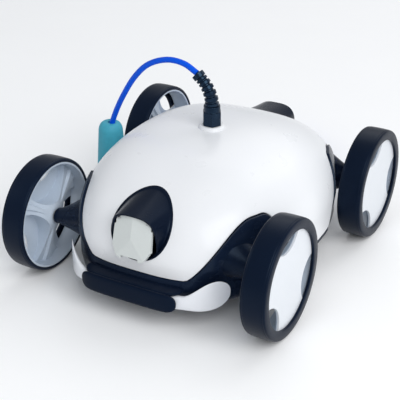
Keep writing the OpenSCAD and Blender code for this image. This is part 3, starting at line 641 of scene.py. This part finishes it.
def drill(obj, radii, axis, centre, half, n=160):
    """Cuts an elliptical hole with an exact boolean, and applies it."""
    mesh = bpy.data.meshes.new("drill")
    rings = []
    for t in (-half, half):
        flat = [(radii[0] * math.cos(a), radii[1] * math.sin(a)) for a in angles(n)]
        ring = [Vector((u, t, v)) if axis == "Y" else Vector((u, v, t)) for u, v in flat]
        rings.append([Vector(centre) + p for p in ring])
    verts, faces = loft(rings)
    bm = bmesh.new()
    made = [bm.verts.new(Vector(v) * MM) for v in verts]
    for f in faces:
        bm.faces.new([made[i] for i in f])
    bmesh.ops.recalc_face_normals(bm, faces=bm.faces)
    bm.to_mesh(mesh)
    bm.free()
    tool = bpy.data.objects.new("drill", mesh)
    scene.collection.objects.link(tool)
    cut = obj.modifiers.new("cut", "BOOLEAN")
    cut.operation = "DIFFERENCE"
    cut.solver = "EXACT"
    cut.object = tool
    apply_modifiers(obj)
    bpy.data.objects.remove(tool)
    bpy.data.meshes.remove(mesh)


def apply_modifiers(obj):
    bpy.context.view_layer.update()
    made = bpy.data.meshes.new_from_object(obj.evaluated_get(bpy.context.evaluated_depsgraph_get()))
    obj.modifiers.clear()
    obj.data = made


SKIN_START = 0.004  # the skin's rings start this far from its pole


def down_skin(q, i, rows, lift):
    """How far down the skin ring i of rows lies, where the last one is lift above the lip."""
    return SKIN_START + (skin_u(lip_z(q) + lift) - SKIN_START) * i / rows


def shell_rings(n=224, rows=54):
    rings = []
    lip = [(1.3, 0.0), (0.45, 0.3), (0.0, 1.1), (0.0, 2.0), (0.5, 2.75), (1.4, 3.0)]
    for i in range(rows + 1):
        rings.append([skin(down_skin(q, i, rows, lip[0][0]), q) for q in angles(n)])
    for lift, inset in lip[1:]:
        rings.append([skin(skin_u(lip_z(q) + lift), q, inset) for q in angles(n)])
    for i in range(rows // 2, -1, -1):
        rings.append([skin(down_skin(q, i, rows // 2, lip[-1][0]), q, SHELL_WALL) for q in angles(n)])
    return [[p * MM for p in r] for r in rings]


def build_shell():
    shell = piece("shell_skin", *loft(shell_rings(), looped=True), ROOT, "shell", ("top_shell",))
    drill(shell, BEZEL_R, "Y", (0, 0, JET_Z), 2 * SHELL_B)
    drill(shell, (NECK_R, NECK_R), "Z", (0, 0, SHELL_TOP), 30)
    mesh = shell.data
    for f in mesh.polygons:
        f.use_smooth = True
    normals = []
    for f in mesh.polygons:
        flat = f.normal
        for v in f.vertices:
            p = mesh.vertices[v].co / MM
            n = skin_normal(p)
            if flat.dot(n) < 0:
                n = -skin_normal(p, SHELL_WALL)
            normals.append(tuple(n if flat.dot(n) > 0.93 else flat))
    mesh.normals_split_custom_set(normals)


build_shell()

# ------------------------------------------------------------------ lower casing
CASING_INSET = 3.6
CASING_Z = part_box("lower_casing")[0].z / MM
CASING_ROUND = 14.0
APRON = 5.0
SWELL = 2.6  # how far the casing swells out below the lip
FENDER = 3.4  # how much more it swells round a wheel arch
FLOOR_T = 3.0
hatch_low, hatch_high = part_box("filter_hatch")
HATCH_X, HATCH_Y = hatch_high.x / MM + 1.0, -hatch_low.y / MM + 1.0


def apron_out(z, q):
    return APRON * ease((70 - z) / 20) * ease((abs(math.sin(q)) - 0.82) / 0.12)


def casing_point(q, down, inset=0.0):
    """Point of the casing wall, down millimetres below the shell's lip at the angle q."""
    lip = lip_z(q)
    arch = ease((lip - 62) / 40)
    bulge = 0.0
    if down >= 0:
        bulge = (SWELL + FENDER * arch) * ease(down / 2.2) * (1 - ease((down - 5) / (22 + 20 * arch)))
    z = lip - down
    p = skin(skin_u(min(z, LIP_ARCH + 4)), q, CASING_INSET - bulge + inset)
    p.y += math.copysign(apron_out(z, q), p.y)
    return p


def casing_foot(z, q, inset=0.0):
    low = max(CASING_Z + CASING_ROUND - z, 0)
    p = skin(1, q, CASING_INSET + inset + CASING_ROUND - math.sqrt(max(CASING_ROUND**2 - low**2, 0)))
    return Vector((p.x, p.y + math.copysign(apron_out(z, q), p.y), z))


def casing_rings(n=224):
    qs = angles(n)
    low = LIP_SIDE - 6
    rings = []
    for down in (-4.0, -1.5, -0.6, 0.0, 0.5, 1.0, 1.6, 2.2):
        rings.append([casing_point(q, down) for q in qs])
    for k in range(1, 15):
        rings.append([casing_point(q, 2.2 + (lip_z(q) - low - 2.2) * k / 14) for q in qs])
    feet = [low + (CASING_Z - low) * t for t in (0.25, 0.5, 0.7, 0.85, 0.94, 1.0)]
    rings += [[casing_foot(z, q) for q in qs] for z in feet]

    def floor_ring(z, share):
        ring = []
        for q in qs:
            edge = casing_foot(CASING_Z, q)
            c, s = spow(math.cos(q), 0.12), spow(math.sin(q), 0.12)
            hole = Vector((HATCH_X * c, HATCH_Y * s, z))
            ring.append(hole.lerp(Vector((edge.x, edge.y, z)), share))
        return ring

    floor_top = CASING_Z + FLOOR_T
    for z, share in ((CASING_Z, 0.5), (CASING_Z, 0.0), (floor_top, 0.0), (floor_top, 0.5)):
        rings.append(floor_ring(z, share))
    for z in reversed(feet):
        lift = Vector((0, 0, FLOOR_T)) * (1 - (z - CASING_Z) / (low - CASING_Z))
        rings.append([casing_foot(z, q, FLOOR_T) + lift for q in qs])
    for k in range(6, 0, -1):
        rings.append([casing_point(q, (lip_z(q) - low) * k / 6, 4.5) for q in qs])
    rings.append([casing_point(q, -4.0, 3.0) for q in qs])
    return [[p * MM for p in r] for r in rings]


piece("casing_tub", *loft(casing_rings(), looped=True), ROOT, "casing", ("lower_casing",), sharp=45)

# ------------------------------------------------------------------ arms
WHEEL_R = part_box("tyre_front_right")[1].z / MM / 2
TYRE_IN, TYRE_OUT = (v.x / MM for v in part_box("tyre_front_right"))
AXLE_Y = (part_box("tyre_rear_right")[0].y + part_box("tyre_rear_right")[1].y) / 2 / MM
ARM_X, BOSS_X, BOSS_R = 96.0, TYRE_IN - 1.0, 9.5
ARM_ROOT_Y, ARM_ROOT_Z, ARM_ROOT_R = 122.0, 86.0, (47.0, 40.0)
ARM_FLARE = 1.3
ARM_BORE_R, ARM_BORE_L = 5.05, 20


def corner_signs(name):
    return (-1 if name.endswith("left") else 1), (-1 if name.startswith("front") else 1)


def arm_rings(name, n=72, rows=36):
    sx, sy = corner_signs(name)

    def oval(x, cy, cz, ry, rz):
        return [Vector((sx * x, sy * (cy + ry * math.sin(a)), cz + rz * math.cos(a))) * MM for a in angles(n)]

    rings = []
    for k in range(rows + 1):
        t = k / rows
        f = (1 - t) ** ARM_FLARE
        flange = 0.9 * ease((t - 0.93) / 0.03) * (1 - ease((t - 0.985) / 0.015))
        x = ARM_X + (BOSS_X - ARM_X) * t
        cy, cz = AXLE_Y + (ARM_ROOT_Y - AXLE_Y) * f, WHEEL_R + (ARM_ROOT_Z - WHEEL_R) * f
        ry, rz = (BOSS_R + flange + (root_r - BOSS_R) * f for root_r in ARM_ROOT_R)
        rings.append(oval(x, cy, cz, ry, rz))
    for x in (BOSS_X, BOSS_X - ARM_BORE_L):
        rings.append(oval(x, AXLE_Y, WHEEL_R, ARM_BORE_R, ARM_BORE_R))
    return rings


for corner in CORNERS:
    piece("arm_" + corner, *loft(arm_rings(corner)), ROOT, "arm", ("axle_arm_" + corner,), sharp=50)

# ------------------------------------------------------------------ wheels
TREAD_T = 5.2
FACE_IN = 63.0
RIM_R = WHEEL_R - TREAD_T
BAND_T = 3.0
HUB_R, BUSH_R = 13.0, 7.5
HUB_FACE = 1.5
COVER_BACK = TYRE_OUT - TYRE_IN - 6.2
LOBES = 3
IN_SCALLOP, OUT_SCALLOP = (60.0, 44.0), (76.0, 34.5)  # distance from the axle and radius
WHEEL_TURN = {"front_left": 64.0, "front_right": 53.0, "rear_left": 15.0, "rear_right": 78.0}


def on_axle(name):
    """Sends wheel coordinates, about the axle and up from the tyre's inner face, to the frame."""
    sx, sy = corner_signs(name)
    return lambda p: Vector((sx * (TYRE_IN + p[2]), sy * (AXLE_Y + p[1]), WHEEL_R - p[0])) * MM


def tyre_profile():
    w = TYRE_OUT - TYRE_IN
    crown = [(WHEEL_R - 0.35 * (2 * k / 10 - 1) ** 2, 4.2 + (w - 8.4) * k / 10) for k in range(11)]
    inner = [(0.55, 3.4), (0.9, 3.0), (0.7, 2.5), (0.9, 1.5), (1.7, 0.5), (2.8, 0.0)]
    outer = [(0.55, 3.4), (0.9, 3.0), (0.7, 2.5), (0.8, 1.7), (1.4, 0.7), (2.6, 0.0)]
    face = [(1.4, 0.0), (0.5, 0.25), (0.0, 0.9), (0.0, 3.2), (0.4, 3.6)]
    out = [(WHEEL_R - drop, z) for drop, z in reversed(inner)] + crown
    out += [(WHEEL_R - drop, w - back) for drop, back in outer]
    out += [(FACE_IN + r, w - back) for r, back in face]
    return out + [(RIM_R, w - 3.6), (RIM_R, 0.8), (RIM_R + 0.8, 0.0)]


def scallop_edge(at, radius, rim, steps):
    """Half of a scallop's edge, from its inmost point to the rim, as (angle, distance from the axle)."""
    full = math.acos(max(min((at * at + radius * radius - rim * rim) / (2 * at * radius), 1), -1))
    out = []
    for k in range(steps + 1):
        psi = full * k / steps
        x, y = at - radius * math.cos(psi), radius * math.sin(psi)
        out.append((math.atan2(y, x), math.hypot(x, y)))
    return out


def lobed(scallop, rim, inner, heights, turn, place, columns=28, steps=18, inner_steps=5):
    """A disc with three scallops: two grids at heights(r, share of the lobe) and the walls between."""
    verts, faces = [], []
    edge = scallop_edge(*scallop, rim, steps)
    near = edge[0][1]
    rows = [(0.0, inner + (near - inner) * k / inner_steps) for k in range(inner_steps)] + edge
    lobe_angle = math.radians(360 / LOBES)
    for side in (0, 1):
        for lobe in range(LOBES):
            base = len(verts)
            for delta, r in rows:
                for c in range(columns + 1):
                    share = c / columns
                    a = turn + math.radians(360 / LOBES * lobe) + delta + share * (lobe_angle - 2 * delta)
                    verts.append(place((r * math.cos(a), r * math.sin(a), heights(r, share)[side])))
            for i in range(len(rows) - 1):
                for c in range(columns):
                    k = base + i * (columns + 1) + c
                    faces.append((k, k + 1, k + columns + 2, k + columns + 1))
            if side == 0:
                span = LOBES * len(rows) * (columns + 1)
                for i in range(inner_steps, len(rows) - 1):
                    for c in (0, columns):
                        k = base + i * (columns + 1) + c
                        faces.append((k, k + columns + 1, k + columns + 1 + span, k + span))
                last = base + (len(rows) - 1) * (columns + 1)
                for c in range(columns):
                    for start in (last + c, base + c):
                        faces.append((start, start + 1, start + 1 + span, start + span))
    return verts, faces


WEB_DEPTH = 15.0  # how much deeper the web's inner face lies at the rim than at the hub
WEB_CURVE = 0.8
WEB_RIB = 3.5
COVER_T = 2.4


def web_heights(r, share):
    """Inner face of the wheel's web: a dished cone with a raised middle rib on each lobe."""
    out = (r - HUB_R) / (RIM_R - HUB_R)
    z = HUB_FACE + WEB_DEPTH * max(out, 0) ** WEB_CURVE
    off = abs(share - 0.5) * 2
    z += WEB_RIB * ease(out / 0.5) * min(max((off - 0.3) / 0.1, 0), 1)
    return min(z, COVER_BACK - 1.5), COVER_BACK - 0.05


def wheel_band():
    """Section of the rim's band."""
    low, high = (RIM_R - BAND_T, 1.0), (RIM_R - 0.05, COVER_BACK)
    return rounded([low, (high[0], low[1]), high, (low[0], high[1])], [1.0, 0.5, 0.3, 0.3], 3)


def wheel_hub():
    """Section of the hub, with a flange at its inner end."""
    flange = HUB_R + 1.6
    points = [
        (BUSH_R, HUB_FACE - 0.3), (HUB_R - 2.2, HUB_FACE - 0.3), (flange, HUB_FACE + 0.9),
        (flange, HUB_FACE + 3.0), (HUB_R, COVER_BACK), (BUSH_R, COVER_BACK),
    ]
    return rounded(points, [0.3, 0.8, 0.5, 0.5, 0.2, 0.2], 3)


def shade_sheet_heights(r, share):
    """A thin sheet in the web's painted-shade colour just behind the cover, out to the cover's own scallops,
    so the cover's inner face shows painted shade.
    """
    return COVER_BACK - 0.9, COVER_BACK - 0.05


def cover_heights(r, share):
    return COVER_BACK, COVER_BACK + COVER_T


def wheel_pieces(name):
    body = "wheel_" + name
    place = on_axle(name)
    turn = math.radians(WHEEL_TURN[name])
    tyre = lathe(tyre_profile(), place, 200)
    piece("tyre_ring_" + name, *tyre, body, "tyre", ("tyre_" + name,), sharp=32)
    # The web, band and hub, and the sheet just behind the cover, all wear the web look: painted shade, a
    # darker blue-grey than the white cover.
    web = lobed(IN_SCALLOP, RIM_R - 1.0, HUB_R - 0.5, web_heights, turn, place)
    shade_sheet = lobed(OUT_SCALLOP, RIM_R - 1.0, HUB_R - 0.5, shade_sheet_heights, turn, place)
    inside = joined([web, shade_sheet, lathe(wheel_band(), place, 160), lathe(wheel_hub(), place, 72)])
    piece("wheel_web_" + name, *inside, body, "wheel", ("wheel_rim_" + name,), sharp=24, look="web")
    plate = lobed(OUT_SCALLOP, RIM_R - 0.3, 0.02, cover_heights, turn, place, 30, 24, 8)
    disc = piece("wheel_plate_" + name, *plate, body, "wheel", ("wheel_cover_" + name,), sharp=40)
    soften(disc, 0.0005, 3)


def soften(obj, width, segments=2, angle=32.0):
    """Rounds an object's sharp edges with modifiers, which leave its mesh as it is."""
    weld = obj.modifiers.new("weld", "WELD")
    weld.merge_threshold = 0.00001
    bevel = obj.modifiers.new("bevel", "BEVEL")
    bevel.width = width
    bevel.segments = segments
    bevel.limit_method = "ANGLE"
    bevel.angle_limit = math.radians(angle)
    bevel.harden_normals = True
    bevel.use_clamp_overlap = True


for corner in CORNERS:
    wheel_pieces(corner)

# ------------------------------------------------------------------ bumpers
BUMPER_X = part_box("front_bumper")[1].x / MM
BUMPER_Y, BUMPER_Z, BUMPER_SWEEP, SWEEP_POW = 211.0, 43.5, 44.0, 4.5
FLARE, FLARE_FROM, FLARE_SPAN = 13.5, 0.6, 0.35
END_LIFT, END_DEEPEN = 0.62, 0.18
PAD_X, PAD_FORWARD, PAD_HALF_H, PAD_LIFT = 68.0, 9.7, 12.4, 1.6
LID_AT, LID_HALF = (-2.0, 12.0), (11.0, 2.5)
STUB_X, STUB_R, STUB_FOOT_R = 30, 5.0, 6.0


def bar_rings(end, half_x, forward, half_depth, half_height, flare, lift=0.0, rows=64, n=40, power=2.6):
    """Rings of a swept bar, of superellipse section, that grows by flare towards its ends."""
    rings = []
    for k in range(-rows, rows + 1):
        t = 0.9985 * math.sin(math.pi / 2 * k / rows)
        x = half_x * t
        f = ease((abs(x) / BUMPER_X - FLARE_FROM) / FLARE_SPAN)
        swing = math.radians(-30 * ease(abs(x) / BUMPER_X)) * (1 if x > 0 else -1)
        grow = math.sqrt(1 - abs(t) ** 14)
        y = -(BUMPER_Y + forward - BUMPER_SWEEP * (abs(x) / BUMPER_X) ** SWEEP_POW)
        c = Vector((x, y, BUMPER_Z + lift + END_LIFT * flare * f))
        u, v = Vector((math.sin(swing), -math.cos(swing), 0)), Vector((0, 0, 1))
        ru, rv = grow * (half_depth + END_DEEPEN * flare * f), grow * (half_height + flare * f)
        e = 2 / power
        ring = [c + u * ru * spow(math.cos(a), e) + v * rv * spow(math.sin(a), e) for a in angles(n)]
        rings.append([Vector(turned(p, end)) * MM for p in ring])
    return rings


def stub(end, x):
    """One of the two round stubs that carry a bumper on the casing."""
    steps = (
        (-(BUMPER_Y - 4), STUB_R), (-SHELL_B - 3, STUB_R),
        (-SHELL_B - 1.2, STUB_FOOT_R), (-SHELL_B + 1, STUB_FOOT_R),
    )
    rings = []
    for y, r in steps:
        ring = [(x + r * math.cos(a), y, BUMPER_Z + r * math.sin(a)) for a in angles(36)]
        rings.append([Vector(turned(p, end)) * MM for p in ring])
    return loft(rings)


for end, name in ((FRONT, "front"), (REAR, "rear")):
    bar = joined([loft(bar_rings(end, BUMPER_X, 0, 6, 9, FLARE)), stub(end, STUB_X), stub(end, -STUB_X)])
    piece(name + "_bumper_bar", *bar, ROOT, "bumper", (name + "_bumper",), sharp=60)
    face = loft(bar_rings(end, PAD_X, PAD_FORWARD, 3.3, PAD_HALF_H, 0, PAD_LIFT, power=3.4))
    lid = loft(bar_rings(end, PAD_X, LID_AT[0], *LID_HALF, 0, LID_AT[1], power=3.4))
    pad = joined([face, lid])
    piece(name + "_bumper_strip", *pad, ROOT, "pad", (name + "_bumper_pad",), sharp=60)

# ------------------------------------------------------------------ nozzles
LEAN = 0.16
MOUTH_Y, MOUTH_Z, MOUTH_TOP = 199.0, 111.0, 127.0
MOUTH_R = (31.0, 31.0)
NOZZLE_T = 3.0
DUCT_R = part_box("front_duct")[1].x / MM - NOZZLE_T
SPIGOT_Y = 130.0


def round_ring(r, y, n=128):
    return [Vector((r * math.cos(a), -y, JET_Z + r * math.sin(a))) for a in angles(n)]


def skin_ring(inset, proud, n=128):
    out = []
    for a in angles(n):
        x, z = (BEZEL_R[0] - inset) * math.cos(a), JET_Z + (BEZEL_R[1] - inset) * math.sin(a)
        out.append(Vector((x, -skin_y(x, z) - proud, z)))
    return out


def mouth_ring(inset, back=0.0, n=128):
    out = []
    for a in angles(n):
        x = (MOUTH_R[0] - inset) * spow(math.cos(a), 2 / 3)
        z = MOUTH_Z + (MOUTH_R[1] - inset) * spow(math.sin(a), 2 / 3)
        out.append(Vector((x, back - MOUTH_Y - LEAN * (z - MOUTH_TOP), z)))
    return out


def hood(t, sink=4.0):
    """Ring between the bezel and the mouth, sunk into a shallow hollow on its way."""
    a, b = skin_ring(2.4, 0.9), mouth_ring(-0.6)
    out = []
    for p, q in zip(a, b):
        gap = (p - q).length
        s = ease(t) * 0.35 + t * 0.65
        m = p.lerp(q, s)
        m.y += sink * math.sin(math.pi * t) * min(gap / 18, 1)
        out.append(m)
    return out


def nozzle_rings(end):
    """From behind the skin in to the duct, out through the bore to the mouth, and back over the hood."""
    rings = [
        skin_ring(3, -7),
        round_ring(DUCT_R + NOZZLE_T, SPIGOT_Y + 7), round_ring(DUCT_R + NOZZLE_T, SPIGOT_Y),
        round_ring(DUCT_R, SPIGOT_Y), round_ring(DUCT_R, 150), round_ring(DUCT_R, 162),
        mouth_ring(0.9, 8.0), mouth_ring(2.0, 1.0), mouth_ring(1.8, 0.3),
        mouth_ring(1.2, -0.1), mouth_ring(0.5, -0.1), mouth_ring(0.0, 0.2),
    ]
    rings += [hood(t) for t in (1.0, 0.92, 0.82, 0.7, 0.58, 0.46, 0.34, 0.22, 0.12, 0.05, 0.0)]
    lip = ((1.7, 1.25), (1.0, 1.3), (0.4, 1.0), (0.15, 0.4), (0.3, -1.5))
    rings += [skin_ring(inset, proud) for inset, proud in lip]
    return [[Vector(turned(p, end)) * MM for p in r] for r in rings]


for end, name in ((FRONT, "front"), (REAR, "rear")):
    skin_mesh = loft(nozzle_rings(end), looped=True)
    piece(name + "_nozzle_hood", *skin_mesh, ROOT, "nozzle", (name + "_nozzle",), sharp=50)

# ------------------------------------------------------------------ gland
COLLAR_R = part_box("gland_collar")[1].x / MM
COLLAR_BORE = 10.6
collar_outside = [
    (3, 176.0), (0.2, 178.5), (0, 181.0), (0.4, 182.4), (1.5, 183.2), (2.2, 184.4), (3.4, 184.95),
]
collar_profile = [(COLLAR_BORE, 176.0), *((COLLAR_R - drop, z) for drop, z in collar_outside)]
collar_profile += [(COLLAR_BORE + 0.3, 185.0), (COLLAR_BORE, 184.7)]
collar = lathe(collar_profile, lambda p: Vector(p) * MM, 96)
piece("gland_ring", *collar, ROOT, "shell", ("gland_collar",), sharp=50)
relief_route = [(0, 0, 211.5), (-1, 0, 221), (-5, 0, 232), (-11, 0, 241), (-17, 0, 247), (-22, 0, 252)]
RELIEF_R, RELIEF_TAPER, RIB_DEPTH, RIBS = 9.6, 2.2, 2.2, 6
SLEEVE_FROM, SLEEVE_R, SLEEVE_LIP = 0.8, 6.6, 1.9


def relief_radius(t):
    """Radius of the strain relief, t of the way along it: six ribs on a taper, then a sleeve."""
    if t > SLEEVE_FROM:
        edge = ease((t - SLEEVE_FROM) / 0.02) * (1 - ease((t - 0.985) / 0.015))
        return SLEEVE_R + SLEEVE_LIP * edge
    wave = math.cos(2 * math.pi * RIBS * t / SLEEVE_FROM)
    rib = 0.5 - 0.5 * max(-1.0, min(1.0, 3.0 * (wave - 0.45)))
    return RELIEF_R - RELIEF_TAPER * t - RIB_DEPTH * (1 - rib)


relief_path = [p * MM for p in spline(relief_route, 44)]
relief_last = len(relief_path) - 1
relief_radii = [relief_radius(i / relief_last) * MM for i in range(relief_last + 1)]
relief = swept(relief_path, relief_radii, (0, 1, 0), 56)
piece("gland_relief", *relief, ROOT, "gland", ("strain_relief",), sharp=60)

# ------------------------------------------------------------------ CAD nodes that stay
SOFT_EDGES = {
    "gland_nut": 0.7, "front_flap": 0.45, "rear_flap": 0.45, "filter_hatch": 0.5,
    "filter_chamber": 0.8, "filter_frame": 0.5, "latch_left": 0.5, "latch_right": 0.5,
    "front_propeller": 0.3, "rear_propeller": 0.3, "propeller_nuts": 0.4, "motor_caps": 0.8,
    "motor_housing": 0.4, "front_duct": 0.5, "rear_duct": 0.5, "screws": 0.25, "hatch_pin": 0.3,
    "axle_clips": 0.15, "axle_pins": 0.3, "intake_flap_front": 0.3, "intake_flap_rear": 0.3,
}
for entry in frame["record"]["subparts"]:
    node = frame["nodes"][entry["node"]]
    if node.hide_render:
        continue
    node.data.materials.clear()
    node.data.materials.append(MATERIALS[entry["material_slot"]])
    if entry["node"] in SOFT_EDGES:
        soften(node, SOFT_EDGES[entry["node"]] * MM, 2)

# ------------------------------------------------------------------ floor and light
FLOOR_HALF = 8
floor_corners = [(FLOOR_HALF * x, FLOOR_HALF * y, 0) for x, y in ((-1, -1), (1, -1), (1, 1), (-1, 1))]
floor_mesh = bpy.data.meshes.new("floor")
floor_mesh.from_pydata(floor_corners, [], [(0, 1, 2, 3)])
floor = bpy.data.objects.new("floor", floor_mesh)
scene.collection.objects.link(floor)
floor.data.materials.append(material(
    "floor_paper", (0.975, 0.978, 0.982), 0.7, mottle=0.004, rough_spread=0.02,
    grain=300.0, grain_depth=0.01, specular=0.2, scuff=0.0,
))

world = bpy.data.worlds.new("studio")
scene.world = world
world.use_nodes = True
world.node_tree.nodes["Background"].inputs["Color"].default_value = (0.94, 0.965, 1.0, 1.0)
world.node_tree.nodes["Background"].inputs["Strength"].default_value = 0.50


def softbox(name, at, look, size, power, colour=(1.0, 1.0, 1.0)):
    light = bpy.data.lights.new(name, "AREA")
    light.shape = "RECTANGLE"
    light.size, light.size_y = size
    light.energy = power
    light.color = colour
    obj = bpy.data.objects.new(name, light)
    scene.collection.objects.link(obj)
    obj.location = at
    obj.rotation_mode = "QUATERNION"
    obj.rotation_quaternion = (Vector(at) - Vector(look)).to_track_quat("Z", "Y")


LOOK_AT = (0, 0, 0.1)
softbox("key", (2.4, -1.5, 2.4), LOOK_AT, (3.0, 2.6), 92)
softbox("fill", (-2.0, -0.9, 1.5), LOOK_AT, (1.4, 1.0), 3, (0.85, 0.93, 1.0))
softbox("back", (0.2, 2.6, 2.6), LOOK_AT, (4.0, 2.4), 34)
scene.view_settings.view_transform = "Standard"

bpy.context.view_layer.update()
